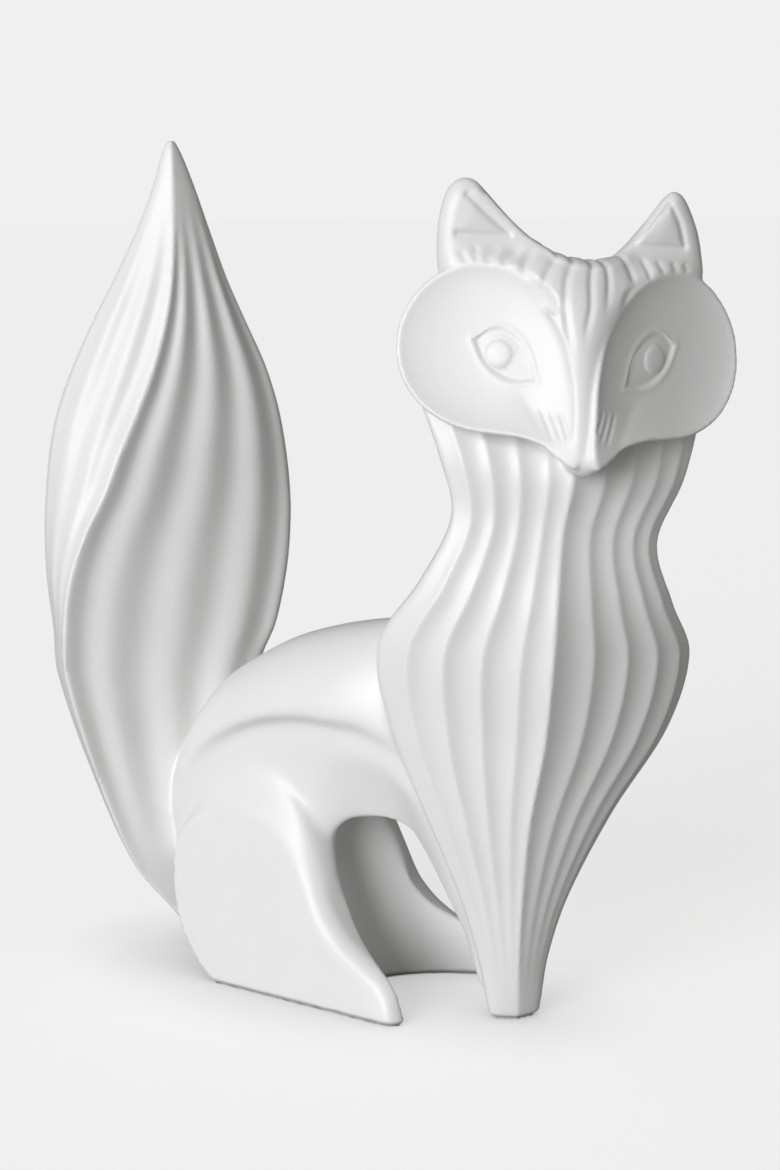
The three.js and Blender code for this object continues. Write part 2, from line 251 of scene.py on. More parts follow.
# %% Tail
TAIL = [
    (6, -91.0, -90.0, -84.0, 90, 2, 3), (15, -98.0, -97.5, -80.0, 93, 4, 6),
    (31, -110.5, -110.2, -76.0, 97.1, 7, 11), (65, -124.2, -123.4, -70.0, 100.5, 11, 15),
    (99, -134.4, -133.0, -62.3, 103.9, 15, 17), (114, -135.3, -133.8, -56.5, 105.4, 17, 17),
    (133, -137.0, -131.5, -52.2, 107.3, 19, 17), (150, -137.0, -125.5, -50.5, 109, 21, 17),
    (163, -136.0, -118.8, -50.7, 110, 22, 17), (177, -134.3, -113.2, -52.3, 110, 22, 16),
    (190, -131.3, -107.0, -54.8, 110, 20, 15), (204, -126.0, -101.0, -59.2, 110, 18, 14),
    (220, -118.5, -95.8, -66.3, 110, 15, 12), (234, -111.0, -93.0, -72.3, 110, 12, 10),
    (252, -102.3, -91.5, -78.6, 110, 8, 7), (265, -97.2, -91.2, -83.0, 110, 5.5, 5),
    (276, -94.0, -91.0, -87.3, 110, 3, 3), (280, -92.2, -91.0, -89.4, 110, 1.5, 1.5),
]
WAVES_RIGHT = [0, 0.10, 0.22, 0.37, 0.52, 0.67, 0.81, 0.92, 1]
WAVES_LEFT = [0, 0.2, 0.4, 0.6, 0.8, 0.92, 1]
WAVE_DEPTH = 1.7
LEFT_WAVES = 0.6
TAIL_FOOT = 6
TAIL_LONG = 274


def waves(f, turns):
    """Soft waves: 0 on the crests, the even entries of turns, and 1 in the valleys between."""
    phase = np.interp(f, turns, np.arange(len(turns)) / 2)
    return (1 - np.cos(2 * np.pi * phase)) / 2


def tail_leaf(u, v):
    h = TAIL_FOOT + v * TAIL_LONG
    left, keel, right, y0, front, back = [column_of(TAIL, k, h) for k in range(1, 7)]
    fade = np.minimum(ramp(h, 20, 80), 1 - ramp(h, 215, 262))
    side, behind, turn = go_round(u)
    f = np.abs(side)
    wave = np.where(side > 0, waves(f, WAVES_RIGHT), LEFT_WAVES * waves(f, WAVES_LEFT))
    edge = np.where(side > 0, right, left)
    x = keel + (edge - keel) * f
    y = y0 - front * keeled(f) + WAVE_DEPTH * wave * fade
    x = np.where(behind, (left + right) / 2 + (right - left) / 2 * np.cos(turn), x)
    y = np.where(behind, y0 - back * np.sin(turn), y)
    return x, y, h


tail = closed_shell("tail", 360, 300, tail_leaf)
print("tail", len(tail.data.polygons), "faces")

# %% [markdown]
# The seated body is drawn from its side, because that is how a sitting animal is understood:
# t runs forward to the front foot, v runs across and z goes up. The sections below run from the
# rump to the inside of the chest: a rounded back over a soft crease, then a flank that dips in
# before it meets the hind leg. Afterwards the whole is turned to its place behind the face.
# Each row is one t with the height of the back and of the crease, the half width, the height and
# the half width of the lower edge, and how far the flank dips in.

# %% Body
BODY_TURN = math.radians(41)
BODY_REAR = -137
BODY_LONG = 134
BODY = [
    (-137, 58, 52, 4, 46, 3, 0), (-133, 70, 56, 13, 38, 10, 0), (-124, 86, 64, 21, 30, 18, 0.5),
    (-113, 100, 76, 25, 22, 20, 2), (-100, 109, 85, 26, 24, 21, 3.5),
    (-86, 116.5, 91, 26, 30, 22, 4.5), (-70, 122, 94, 25, 46, 20, 4.5),
    (-58, 125, 94, 24.5, 58, 14, 4), (-51, 126.4, 94, 23.5, 61, 11, 3.5),
    (-43, 128, 92, 22, 61.5, 9, 3), (-36, 128, 89, 20.5, 58, 6.5, 2),
    (-30, 126, 86, 18.5, 48, 4.5, 1), (-24, 124, 82, 16, 37, 3.5, 0.5),
    (-17, 116, 74, 12, 24, 3, 0), (-10, 106, 68, 9, 8, 3, 0), (-3, 98, 64, 6, 24, 3, 0),
]


def from_side_view(t, v, z):
    x = t * math.sin(BODY_TURN) - v * math.cos(BODY_TURN)
    y = -t * math.cos(BODY_TURN) - v * math.sin(BODY_TURN)
    return x, y, z


def body_section(u, v):
    """From the top of the back down one side to the lower edge, and up the other side."""
    t = BODY_REAR + v * BODY_LONG
    top, crease, half, low, foot, dent = [column_of(BODY, k, t) for k in range(1, 7)]
    near = u < 0.5
    way = np.where(near, u, 1 - u) * 2
    turn = np.pi / 2 * np.clip(way / 0.5, 0, 1)
    drop = np.clip((way - 0.5) / 0.4, 0, 1)
    inner = (half - dent) + (foot - half + dent) * np.clip((drop - 0.3) / 0.7, 0, 1)
    flank = half - dent * ramp(drop, -0.05, 0.5)
    across = np.where(way < 0.5, half * np.sin(turn), np.minimum(flank, inner))
    across = np.where(way > 0.9, foot * (1 - way) / 0.1, across)
    height = np.where(way < 0.5, crease + (top - crease) * np.cos(turn),
                      crease - (crease - low) * drop)
    return from_side_view(t, np.where(near, across, -across), height)


body = closed_shell("body", 240, 220, body_section)
print("body", len(body.data.polygons), "faces")

# %% [markdown]
# Both hind legs are one form, seen from the side: a haunch at the back that runs forward into a
# long low paw. The outer faces are nearly flat and lean in, and a band slopes up from each of
# them to a rim against the flank. The front of each paw is rounded off.

# %% Hind legs
HIP_OUTLINE = [
    (-99, 0), (-105.5, 5), (-112, 12.5), (-117, 22), (-119.5, 35), (-118, 48),
    (-109, 57), (-98, 61), (-89, 61.2), (-80, 58), (-72.5, 53.5), (-66, 47.5), (-61, 40.5),
    (-56, 32), (-48, 24), (-38.5, 18.5), (-31, 14), (-27, 9), (-24, 0),
]
HIP_HALF = 33
HIP_LEAN = 0.11
RIM_RISE = 13.5
RIM_AT = -82
RIM_SPREAD = 30
PAW_ROUND = 6
PAW_LEAD = 4
SOLE_FROM = 0.8
SOLE_SHARE = 0.2
PAW_FRONT = -24
SOLE_LONG = 75


def along_line(points, share):
    """The point at a share of the length of a smooth line through points."""
    points = np.array(points, float)
    steps = np.hypot(*np.diff(points, axis=0).T)
    marks = np.concatenate([[0], np.cumsum(steps)]) / steps.sum()
    return flow(marks, points[:, 0], share), flow(marks, points[:, 1], share)


def hip_section(u, v):
    """Over the outline from the rear to the front of the paw, then back along the flat sole."""
    t, z = along_line(HIP_OUTLINE, np.clip(u / SOLE_FROM, 0, 1))
    t = np.where(u > SOLE_FROM, PAW_FRONT - SOLE_LONG * (u - SOLE_FROM) / SOLE_SHARE, t)
    across = 2 * v - 1
    out = np.abs(across)
    grow = np.interp(out, [0, 0.87, 0.96, 1], [1, 1, 0.2, 0])
    rim = RIM_RISE * np.exp(-(((t - RIM_AT) / RIM_SPREAD) ** 2)) * np.clip((z - 30) / 22, 0, 1)
    half = np.sign(across) * np.where(out > 0.87, HIP_HALF * out - HIP_LEAN * z,
                                      (HIP_HALF - HIP_LEAN * z / 0.87) * out)
    last = np.clip((out * HIP_HALF - (HIP_HALF - PAW_ROUND)) / PAW_ROUND, 0, 1)
    tuck = PAW_ROUND * (1 - np.sqrt(1 - last ** 2)) * ramp(t, -75, -50)
    lead = PAW_LEAD * ramp(z, 8, 42) * ramp(t, -85, -60) * (1 - np.clip(out, 0.4, 1)) / 0.6
    return from_side_view(t - tuck + lead, half, z + grow * rim - 0.5 * tuck * np.clip(z / 8, 0, 1))


hips = closed_shell("hips", 200, 160, hip_section)
print("hips", len(hips.data.polygons), "faces")

# %% [markdown]
# Between the hind legs the real piece is hollow, so that the front foot stands free. The hollow
# is round in plan, leans back and closes as it rises. It is a tool like a core in a mould: a
# shell of its own shape, taken away from the body and the legs with Boolean modifiers.

# %% The hollow between the legs
HOLLOW = [
    (-54.5, 0), (-53.4, 4.6), (-50.8, 8.5), (-47, 12.6), (-41.3, 18.2), (-34, 23),
    (-28, 26), (-21, 28),
]
HOLLOW_LEAN = 0.37
HOLLOW_TOP = 61
HOLLOW_MIDDLE = 38
MOUTH_FROM = 0.8
MOUTH_SHARE = 0.2


def hollow_section(u, v):
    """Round the hollow from one side to the other, then straight across its open mouth."""
    z = -2 + v * (HOLLOW_TOP + 2)
    size = 0.25 + 0.75 * np.sqrt(np.clip(1 - np.clip((z - 36) / 25, 0, 1) ** 2, 0, 1))
    t, across = along_line(HOLLOW, np.clip(np.abs(1 - 2 * u / MOUTH_FROM), 0, 1))
    across = np.where(u < MOUTH_FROM / 2, -across, across)
    mouth = 28 - 56 * (u - MOUTH_FROM) / MOUTH_SHARE
    across = np.where(u > MOUTH_FROM, mouth, across) * size
    t = np.where(u > MOUTH_FROM, -21, t)
    t = -HOLLOW_MIDDLE + (t + HOLLOW_MIDDLE) * size
    return from_side_view(t - HOLLOW_LEAN * z, across, z)


def take_away(piece, tool):
    choose(piece)
    cut = piece.modifiers.new("hollow", "BOOLEAN")
    cut.operation = "DIFFERENCE"
    cut.solver = "EXACT"
    cut.object = tool
    bpy.ops.object.modifier_apply(modifier=cut.name)


def throw_away(piece):
    bpy.data.objects.remove(piece, do_unlink=True)


core = closed_shell("core", 120, 80, hollow_section)
take_away(body, core)
take_away(hips, core)
throw_away(core)
print("hollow cut: body", len(body.data.polygons), "hips", len(hips.data.polygons), "faces")

# %% [markdown]
# The face is made of two round dishes that narrow to the nose. Each one is a plate: an outline
# drawn flat, thick behind, with a crisp rim and a shallow bowl in front. It is drawn for one
# side, turned and tilted to its place, and mirrored for the other side.

# %% Face dishes
HEAD = (16.9, -2.0, 217.7)
HEAD_ROLL = math.radians(3.5)
DISH_TURN = math.radians(25)
DISH_TILT = math.radians(11)
DISH_FORWARD = 20
DISH_OUTLINE = [
    (-2.5, -12), (-4, -22), (-5, -30), (-3.5, -35.4), (2.3, -32.8), (7.1, -29.4), (13.5, -27.5),
    (19, -26.8), (26, -26.6), (34, -26), (42, -23.6), (49.5, -19), (55.5, -11.5), (58.3, -2),
    (57.2, 8), (52.6, 16.4), (45.5, 22.6), (37, 25.4), (28.5, 25.4), (20, 22.6), (13, 17.6),
    (7.2, 11.2), (2.5, 4), (-0.5, -4), (-2.5, -12),
]
NOSE_SHIFT = 2.8
DISH_MIDDLE = (26, -4)
DISH_PROFILE = [
    (0.75, -19), (0.93, -8), (0.985, -4), (0.998, -1.2), (0.99, -0.3), (0.972, 0), (0.95, -0.2),
    (0.9, -0.75), (0.8, -1.45), (0.65, -2.15), (0.45, -2.7), (0.22, -2.95), (0, -3),
]

place_head = Matrix.Translation(HEAD) @ Matrix.Rotation(HEAD_ROLL, 4, "Y")
place_dish = (Matrix.Translation((3.5, -DISH_FORWARD, 0)) @ Matrix.Rotation(DISH_TURN, 4, "Z")
              @ Matrix.Rotation(-DISH_TILT, 4, "X") @ Matrix.Rotation(math.pi / 2, 4, "X"))
mirror_side = Matrix.Scale(-1, 4, (1, 0, 0))


def turned(points, matrix):
    matrix = np.array(matrix)
    return points @ matrix[:3, :3].T + matrix[:3, 3]


def on_head(x, y, z):
    """Points in the head's own millimetres, brought to their place."""
    return turned(np.stack([x, y, z], axis=1), place_head).T


def profile_at(profile, v):
    """The size and the depth of a plate at a share of the way over its profile."""
    marks = np.linspace(0, 1, len(profile))
    sizes, depths = zip(*profile)
    return np.interp(v, marks, sizes), flow(marks, depths, v)


def dish_surface(u, v, side):
    x, z = along_line(DISH_OUTLINE, u)
    size, depth = profile_at(DISH_PROFILE, v)
    x = DISH_MIDDLE[0] + (x - DISH_MIDDLE[0]) * size
    z = DISH_MIDDLE[1] + (z - DISH_MIDDLE[1]) * size
    bowl = np.where(v > 0.4, ramp(np.hypot(x, z + 34), 2, 22), 1)
    x = x - side * NOSE_SHIFT * (1 - ramp(x, 0, 32))
    return np.stack([x, z, depth * bowl], axis=1)


def dish(side):
    def place(u, v):
        matrix = place_dish if side > 0 else mirror_side @ place_dish
        return turned(dish_surface(u, v, side), place_head @ matrix).T
    return closed_shell("dish", 240, 200, place)


dishes = [dish(1), dish(-1)]
print("dishes", sum(len(piece.data.polygons) for piece in dishes), "faces")

# %% [markdown]
# Between the dishes a narrow ridge runs up from the nose and spreads into the crown.
# The skull behind it is round, which keeps the top of the head soft, and the nose ends in
# a small round tip. Where the ridge widens it meets the upper rims of the dishes flush.

# %% Ridge, skull and nose tip
RIDGE = [
    (-37.2, 0.8, 20.5), (-36.8, 2.4, 22.6), (-35.6, 3.6, 24.6), (-33.5, 4.1, 25.8),
    (-28, 4.1, 26.0), (-22, 3.9, 25.0), (-13, 4.0, 23.2), (-5, 5.2, 21.8), (3.5, 7.4, 20.6),
    (10.5, 11.2, 19.0), (16.5, 16.4, 16.6), (21, 22.0, 13.6), (24.8, 27.0, 10.0),
    (27.0, 30.0, 5.5), (28.0, 30.5, 1.0), (28.4, 29.0, -3.0),
]
RIDGE_ROUND = 0.33
RIDGE_FOOT = -37.2
RIDGE_LONG = 58
RIM_TOP = [
    (9, -15.0, 11.0), (13.9, -11.5, 17.3), (19.8, -7.6, 22.2), (23.5, -5.6, 24.2),
    (27.3, -3.6, 24.9), (31, -1.8, 25.1), (35, 0.0, 24.9), (43, 3.1, 22.2),
]


def rim_at(x):
    """The y and z of the upper rim of a dish, at x across the head."""
    across = np.abs(x + NOSE_SHIFT * (1 - ramp(np.abs(x), 0, 30)))
    return column_of(RIM_TOP, 1, across), column_of(RIM_TOP, 2, across)


def meet_rims(x, y, z):
    """A front made flush with the rims of the dishes, and brought behind them below."""
    rim_y, rim_z = rim_at(x)
    beside = ramp(np.abs(x), 8, 12) * ramp(z, 11, 15)
    close = 1 - ramp(z - rim_z, 0, 5)
    behind = close * np.clip(rim_y + 0.2 - y, 0, None) + 2.2 * np.clip(rim_z - z, 0, None)
    return y + beside * behind


def nose_ridge(u, v):
    z = RIDGE_FOOT + v * RIDGE_LONG
    half, lead = [column_of(RIDGE, k, z) for k in (1, 2)]
    side = np.clip(1 - u / 0.4, -1, 1)
    x = side * half
    behind = u > 0.8
    shift = NOSE_SHIFT * (1 - 0.6 * ramp(-z, 26, 36))
    x = np.where(behind, half * (-1 + 2 * (u - 0.8) / 0.2), x) - shift
    y = np.minimum(meet_rims(x, -lead + RIDGE_ROUND * half * side ** 2, z), 4)
    y = np.where(behind, 5, y)
    return on_head(x, y, z)


def round_form(name, radii, middle):
    """A ball stretched to three radii round a middle, in the head's own millimetres."""
    deselect()
    bpy.ops.mesh.primitive_uv_sphere_add(segments=96, ring_count=64, radius=MM)
    piece = bpy.context.object
    piece.name = name
    ball = points_of(piece) * np.array(radii) / MM + np.array(middle)
    move_points(piece, turned(ball, place_head) * MM)
    return piece


ridge = closed_shell("ridge", 240, 240, nose_ridge)
skull = round_form("skull", (38, 17, 28.5), (0, 10, -1.5))
nose = round_form("nose", (5.6, 7.2, 5.2), (-0.9, -20.0, -32.4))
print("ridge, skull and nose tip made")

# %% [markdown]
# An ear is a rounded triangular plate. It is made the way the dishes were: an outline drawn
# flat and shrunk step by step towards the middle, first over the back and then round the rim.
# The two ears are not quite alike, as on the real piece, so each has its own outline. Both turn
# a little outwards. Under them a narrow band leans forward to the rims of the dishes.

# %% Ears
LEFT_EAR = [
    (-43.2, 21), (-43.9, 28), (-43.8, 36), (-42.9, 42), (-41.3, 46.6), (-38.9, 49.3),
    (-36, 50.2), (-33.2, 49.4), (-29.8, 46.3), (-25.6, 42.0), (-20.6, 37.2), (-15.5, 33.2),
    (-11, 30.3), (-10.5, 23), (-18, 19), (-30, 18), (-40, 18.5), (-43.2, 21),
]
RIGHT_EAR = [
    (43.2, 21), (43.2, 25.5), (42.1, 32), (40.7, 37), (39.0, 41), (36.9, 45), (34.4, 48.4),
    (31.6, 49.6), (29.0, 48.2), (25.6, 44.2), (21.4, 38.6), (17.8, 34.0), (14.4, 30.8),
    (12, 28.6), (11.5, 23), (18, 19), (30, 18), (40, 18.5), (43.2, 21),
]
EAR_TURN = 0.17
LEFT_EAR_MIDDLE = (-33.2, 35.2)
RIGHT_EAR_MIDDLE = (30.2, 34.6)
EAR_PROFILE = [
    (0.55, 9.5), (0.8, 8.6), (0.95, 6.8), (1, 4.9), (0.97, 3.3), (0.91, 2.2), (0.83, 1.45),
    (0.72, 0.9), (0.6, 0.6), (0.4, 0.42), (0.2, 0.4), (0, 0.4),
]
BAND_TOP = 31


def ear_face(x, z):
    """How far the plane of the ears lies behind the middle of the head."""
    return 0.05 * (z - 24) + EAR_TURN * (np.abs(x) - 27) + 1


def band_lead(x, z):
    """How far the band over the dishes stands in front of that plane; below the rims it falls."""
    rim_y, rim_z = rim_at(x)
    lead = np.clip(0.6 + ear_face(x, z) - rim_y, 0, None)
    return lead * (1 - ramp(z, rim_z, BAND_TOP)) - 2.2 * np.clip(rim_z - z, 0, None)


def ear(outline, middle):
    def place(u, v):
        x, z = along_line(outline, u)
        size, y = profile_at(EAR_PROFILE, v)
        front = ramp(v, 0.3, 0.5)
        x = middle[0] + (x - middle[0]) * size
        z = middle[1] + (z - middle[1]) * size
        y = y + ear_face(x, z) - front * np.clip(band_lead(x, z), 0, None)
        return on_head(x, y, z)
    return closed_shell("ear", 240, 140, place)


ears = [ear(LEFT_EAR, LEFT_EAR_MIDDLE), ear(RIGHT_EAR, RIGHT_EAR_MIDDLE)]
print("ears", sum(len(piece.data.polygons) for piece in ears), "faces")

# %% [markdown]
# The crown joins the ears: seen from the front its top hangs between them like a slack rope.
# Its face is the brow above the ridge where that stands forward, and elsewhere the same band as
# under the ears. It meets the rims of the dishes flush, and below them it drops back, so that
# it never covers the dishes.

# %% Crown
CROWN_TOP = [
    (-34, 48.0), (-30, 45.6), (-25.8, 41.6), (-18.9, 35.4), (-12, 30.8), (-5.4, 28.4),
    (2.2, 27.6), (8, 28.0), (12, 29.0), (15.7, 31.4), (21.7, 38.2), (27, 44.6), (31, 47.0),
]
CROWN_LEFT = -34
CROWN_WIDE = 65
CROWN_FOOT = 14
CROWN_ROUND = 3.4
CROWN_BACK = 10.5
BROW_LEAD = [
    (14, 17.4), (16.5, 16.6), (21, 13.6), (24.8, 10.4), (28, 6.8), (31, 3.0), (35, -2.5),
    (40, -10),
]
BROW_SOFT = 4


def crown_front(x, z):
    lead = column_of(BROW_LEAD, 1, z)
    half = column_of(RIDGE, 1, z)
    aside = x + NOSE_SHIFT
    brow = (-lead + RIDGE_ROUND * aside ** 2 / half + 0.4 * np.clip(np.abs(aside) - 14, 0, None)
            + 2 * np.clip(np.abs(aside) - half, 0, None))
    band = np.minimum(0.7 + ear_face(x, z) - band_lead(x, z), CROWN_BACK - 3)
    soft = BROW_SOFT * (1 - 0.9 * ramp(np.abs(x), 24, 31))
    near = np.clip(1 - np.abs(brow - band) / soft, 0, 1)
    front = np.minimum(brow, band) - soft * near ** 2 / 4
    return np.minimum(meet_rims(x, front, z), CROWN_BACK - 3)


def crown_section(u, v):
    """Up the front to u = 0.4, over the edge to 0.6, down the back to 0.9 and forward below."""
    x = CROWN_LEFT + v * CROWN_WIDE
    bend = CROWN_ROUND * (1 - 0.55 * ramp(np.abs(x + 1), 8, 19))
    edge = column_of(CROWN_TOP, 1, x) - bend
    rise = np.clip(u / 0.4, 0, 1)
    over = np.pi * np.clip((u - 0.4) / 0.2, 0, 1)
    sink = np.clip((u - 0.6) / 0.3, 0, 1)
    under = np.clip((u - 0.9) / 0.1, 0, 1)
    climb = np.where(u < 0.4, rise, 1 - sink)
    z = CROWN_FOOT + (edge - CROWN_FOOT) * climb + bend * np.sin(over)
    front = crown_front(x, np.minimum(z, edge))
    middle = (front + CROWN_BACK) / 2
    y = np.where(u < 0.4, front, middle - (CROWN_BACK - front) / 2 * np.cos(over))
    y = np.where(u > 0.9, CROWN_BACK + (front - CROWN_BACK) * under, y)
    return on_head(x, y, z)


crown = closed_shell("crown", 260, 240, crown_section)
print("crown", len(crown.data.polygons), "faces")

# %% [markdown]
# A cast piece has one skin, so the shells become one: they are joined, and a voxel Remesh keeps
# only the outside of all of them. A little smoothing rounds the creases, as the glaze does on
# the real figurine when it melts.

# %% One skin
VOXEL = 0.7 * MM
SKIN_SMOOTHING = 4

deselect()
for piece in [column, tail, body, hips, ridge, skull, nose, crown] + dishes + ears:
    piece.select_set(True)
bpy.context.view_layer.objects.active = column
bpy.ops.object.join()
fox = bpy.context.object
fox.name = "ceramic_fox"
remesh = fox.modifiers.new("one_skin", "REMESH")
remesh.mode = "VOXEL"
remesh.voxel_size = VOXEL
bpy.ops.object.modifier_apply(modifier=remesh.name)
soften = fox.modifiers.new("melted_glaze", "SMOOTH")
soften.factor = 0.5
soften.iterations = SKIN_SMOOTHING
bpy.ops.object.modifier_apply(modifier=soften.name)
print("one skin", len(fox.data.polygons), "faces")

# %% [markdown]
# On the real body the flank, the haunch and the belly flow into each other with no edge at all,
# while the flutes and the face stay crisp. A Smooth modifier that follows a vertex group does
# that: the group is strong on the flesh and empty elsewhere. The tip of the nose and the ends of
# the brow, next to the ears, get a little of the same.

# %% Soft flesh
FLESH_SMOOTHING = 110
NOSE_SMOOTHING = 14
BROW_SMOOTHING = 24


def to_side_view(points):
    """t, v and z of points in the side view of the body, in mm."""
    mm = points / MM
    t = mm[:, 0] * math.sin(BODY_TURN) - mm[:, 1] * math.cos(BODY_TURN)
    v = -mm[:, 0] * math.cos(BODY_TURN) - mm[:, 1] * math.sin(BODY_TURN)
    return t, v, mm[:, 2]


def round_place(t, v, z, middle, reach):
    """1 at the middle of a soft place, fading to 0 at its reach."""
    away = np.sqrt((t - middle[0]) ** 2 + (np.abs(v) - middle[1]) ** 2 + (z - middle[2]) ** 2)
    return 1 - ramp(away, reach * 0.45, reach)


def soften_group(piece, name, weights, iterations):
    group = piece.vertex_groups.new(name=name)
    levels = np.round(weights * 10).astype(int)
    for level in range(1, 11):
        group.add(np.where(levels == level)[0].tolist(), level / 10, "REPLACE")
    soft = piece.modifiers.new(name, "SMOOTH")
    soft.vertex_group = name
    soft.factor = 0.5
    soft.iterations = iterations
    bpy.ops.object.modifier_apply(modifier=soft.name)
    piece.vertex_groups.clear()


t, v, z = to_side_view(points_of(fox))
flank = ramp(z, 62, 72) * (1 - ramp(z, 100, 112)) * (1 - ramp(t, -34, -22)) * ramp(t, -128, -118)
wedge = round_place(t, v, z, (-66, 15, 52), 24)
rim = round_place(t, v, z, (-90, 26, 66), 26)
flesh = np.clip(np.maximum(flank, np.maximum(wedge, rim)), 0, 1)
soften_group(fox, "soft_flesh", flesh, FLESH_SMOOTHING)
head_mm = turned(points_of(fox) / MM, place_head.inverted())
nose_tip = 1 - ramp(np.linalg.norm(head_mm - np.array([-1.5, -24, -33]), axis=1), 3, 9)
brow_band = (ramp(head_mm[:, 2], 24.4, 26.4) * (1 - ramp(head_mm[:, 2], 31, 35))
             * ramp(np.abs(head_mm[:, 0] + 1), 10, 18) * (1 - ramp(np.abs(head_mm[:, 0]), 37, 41)))
soften_group(fox, "soft_nose", nose_tip, NOSE_SMOOTHING)
soften_group(fox, "soft_brow", brow_band, BROW_SMOOTHING)
print("flesh softened")

# %% [markdown]
# The foot and the legs stand flat, with a small round edge.
# Points close to the table are drawn inwards along a quarter circle, and the underside is
# pressed flat.

# %% Rounded standing edge
EDGE_ROUND = 2.5

points = points_of(fox)
normals = normals_of(fox)
low = np.clip(1 - points[:, 2] / (EDGE_ROUND * MM), 0, 1)
sideways = np.hypot(normals[:, 0], normals[:, 1])
inwards = EDGE_ROUND * MM * (1 - np.sqrt(1 - low ** 2)) * ramp(sideways, 0.2, 0.7)
points[:, :2] -= normals[:, :2] / np.maximum(sideways, 0.01)[:, None] * inwards[:, None]
points[:, 2] = np.where(points[:, 2] < 0.25 * MM, 0, points[:, 2])
move_points(fox, points)
print("standing edge rounded")

# %% [markdown]
# The small relief of the head comes last, because a remesh would wipe it out. The skin of the
# face is subdivided once first, so that it can hold finer lines. Then every point is read in the
# head's own millimetres and pushed in or out by a small amount.

# %% A finer skin on the face
def in_mm_of(points, matrix):
    return turned(points / MM, matrix.inverted())


def faces_in_edit_mode(piece, chosen):
    """Enter edit mode with only the chosen faces selected."""
    choose(piece)
    bpy.ops.object.mode_set(mode="EDIT")
    bpy.ops.mesh.select_mode(type="FACE")
    bpy.ops.mesh.select_all(action="DESELECT")
    bpy.ops.object.mode_set(mode="OBJECT")
    piece.data.polygons.foreach_set("select", chosen)
    bpy.ops.object.mode_set(mode="EDIT")


middles = in_mm_of(read_rows(fox.data.polygons, "center"), place_head)
facing = read_rows(fox.data.polygons, "normal")
on_face = (middles[:, 2] > -40) & (middles[:, 1] < 7) & (facing[:, 1] < 0.3)
faces_in_edit_mode(fox, on_face)
bpy.ops.mesh.subdivide(number_cuts=1)
bpy.ops.object.mode_set(mode="OBJECT")
print("face skin", int(on_face.sum()), "faces cut in four")

# %% [markdown]
# Grooves radiate over the crown: long ones run down into the ridge and short ones stop at the
# rims of the dishes. Each is drawn as a line on the front of the head, and the skin sinks where
# it is close to the line. They get shallower towards the ears.

# %% Grooves of the crown
CROWN_GROOVES = [
    [(-7.5, 31), (-10.5, 27.6), (-15, 21.1), (-14.3, 15.2), (-12.6, 11), (-10, 4)],
    [(-3.6, 31), (-4.8, 28), (-8.2, 22), (-9.4, 16.2), (-9.4, 10.8), (-8.2, 3.5), (-6.6, -5)],
    [(2.8, 31), (1.5, 28.5), (-0.8, 20.9), (-1.6, 13.6), (-3.1, 7.5), (-4, 1)],
    [(3.4, 31), (4.8, 28.2), (5.6, 23.4), (4.6, 17.6), (2.6, 9.5)],
    [(-14.6, 31), (-19.2, 26.4), (-20.4, 23.8), (-19, 20.4)],
    [(-18.6, 30.4), (-23.4, 27.7), (-25.7, 25.9), (-25.2, 23.8)],
    [(-25.4, 30), (-29.4, 27.8), (-30.4, 26.2), (-29.2, 24)],
    [(-32.6, 30), (-33.8, 27.4), (-33, 24.2)],
    [(-38.2, 28.6), (-37.2, 26.2), (-36.6, 24)],
    [(11.4, 30.6), (13.2, 27), (14.2, 23.6), (14.2, 20)],
    [(18.8, 29.4), (19.9, 26.4), (20.5, 23.8), (20.3, 21.8)],
    [(24.2, 28.8), (25.2, 26.2), (26.6, 23.4)],
    [(29.6, 28.4), (30.4, 26.2), (31, 24)],
    [(34.2, 28), (35, 26.2), (35.6, 24.4)],
]
GROOVE_WIDTH = 1.2
GROOVE_DEPTH = 0.72


def away_from_line(points, line):
    """Distance from each point to a line through a few places, and the share of it passed."""
    best = np.full(len(points), 1e9)
    passed = np.zeros(len(points))
    for k in range(len(line) - 1):
        start, step = line[k], line[k + 1] - line[k]
        share = np.clip((points - start) @ step / (step @ step), 0, 1)
        gap = np.linalg.norm(points - start - share[:, None] * step, axis=1)
        closer = gap < best
        best = np.where(closer, gap, best)
        passed = np.where(closer, (k + share) / (len(line) - 1), passed)
    return best, passed


def smooth_line(line, count):
    """More places on a smooth curve through the few places of a line."""
    line = np.array(line, float)
    marks = np.arange(len(line))
    at = np.linspace(0, len(line) - 1, count)
    return np.stack([flow(marks, line[:, k], at) for k in range(line.shape[1])], axis=1)


def carve_line(flat, line, width, depth):
    """How deep the skin sinks along a line: soft across it and fading at its far end."""
    gap, passed = away_from_line(flat, smooth_line(line, 20))
    ends = ramp(passed, 0, 0.25) * (1 - ramp(passed, 0.65, 1))
    return depth * ends * np.exp(-((gap / width) ** 2))


points = points_of(fox)
normals = normals_of(fox)
head_mm = in_mm_of(points, place_head)
near = np.where((head_mm[:, 2] > -8) & (head_mm[:, 1] < 12) & (normals[:, 1] < 0.45))[0]
flat = head_mm[near][:, [0, 2]]
depth = np.zeros(len(near))
for line in CROWN_GROOVES:
    weaker = 1 - 0.5 * ramp(abs(line[1][0] + 2), 12, 36)
    depth = np.maximum(depth, carve_line(flat, line, GROOVE_WIDTH, GROOVE_DEPTH * weaker))
depth = depth * (1 - ramp(head_mm[near][:, 1], 5, 11))
points[near] -= normals[near] * depth[:, None] * MM
move_points(fox, points)
print("grooves", len(CROWN_GROOVES), "deepest", round(float(depth.max()), 2), "mm")

# %% [markdown]
# Soft lines are drawn in the ears, so that a low pillow with three corners seems to lie in each.
# The pillow itself is raised a little, by its distance in from the nearest side.

